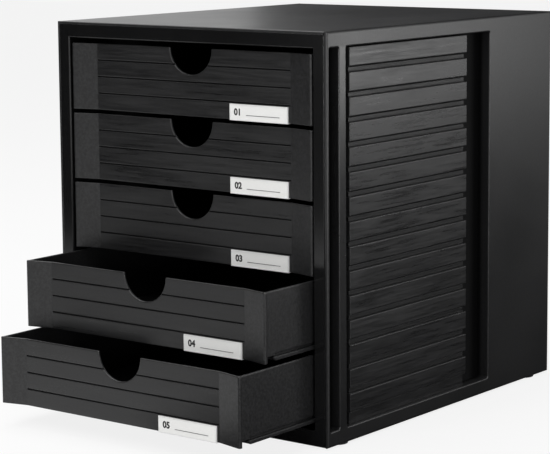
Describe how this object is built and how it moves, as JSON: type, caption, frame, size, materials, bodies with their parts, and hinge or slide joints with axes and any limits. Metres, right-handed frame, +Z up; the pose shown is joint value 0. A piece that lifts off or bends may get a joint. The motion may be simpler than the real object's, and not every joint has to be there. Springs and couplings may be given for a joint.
{
  "type": "desktop drawer unit",
  "caption": "Black plastic desktop box of stacked paper drawers with half-round finger cut-outs, white label holders and ribbed side walls.",
  "frame": {"origin": "on the desk, under the centre of the housing's footprint (the drawers are not counted)", "axes": "+X to the right of someone facing the drawers, +Y from the drawer fronts to the closed back, +Z up"},
  "size_m": [0.275, 0.419, 0.32],
  "materials": {
    "housing_black": "satin, fine moulded grain",
    "frame_gloss_black": "gloss",
    "drawer_black": "semi-gloss",
    "holder_white": "semi-gloss",
    "card_paper": "paper, matt",
    "foot_rubber": "matt"
  },
  "bodies": {
    "housing": {"left_side": "housing_black", "right_side": "housing_black", "front_frame": "frame_gloss_black", "top_panel": "housing_black", "base_panel": "housing_black", "back_panel": "housing_black", "foot_front_left": "foot_rubber", "foot_front_right": "foot_rubber", "foot_back_left": "foot_rubber", "foot_back_right": "foot_rubber"},
    "drawer_body_1": {"drawer_1": "drawer_black", "label_holder_1": "holder_white", "label_card_1": "card_paper"},
    "drawer_body_2": {"drawer_2": "drawer_black", "label_holder_2": "holder_white", "label_card_2": "card_paper"},
    "drawer_body_3": {"drawer_3": "drawer_black", "label_holder_3": "holder_white", "label_card_3": "card_paper"},
    "drawer_body_4": {"drawer_4": "drawer_black", "label_holder_4": "holder_white", "label_card_4": "card_paper"},
    "drawer_body_5": {"drawer_5": "drawer_black", "label_holder_5": "holder_white", "label_card_5": "card_paper"}
  },
  "joints": [
    {"name": "drawer_1_slide", "type": "slide", "parent": "housing", "child": "drawer_body_1", "axis": [0, -1, 0], "range_m": [0, 0.25]},
    {"name": "drawer_2_slide", "type": "slide", "parent": "housing", "child": "drawer_body_2", "axis": [0, -1, 0], "range_m": [0, 0.25]},
    {"name": "drawer_3_slide", "type": "slide", "parent": "housing", "child": "drawer_body_3", "axis": [0, -1, 0], "range_m": [0, 0.25]},
    {"name": "drawer_4_slide", "type": "slide", "parent": "housing", "child": "drawer_body_4", "axis": [0, -1, 0], "range_m": [-0.059, 0.191]},
    {"name": "drawer_5_slide", "type": "slide", "parent": "housing", "child": "drawer_body_5", "axis": [0, -1, 0], "range_m": [-0.09, 0.16]}
  ]
}
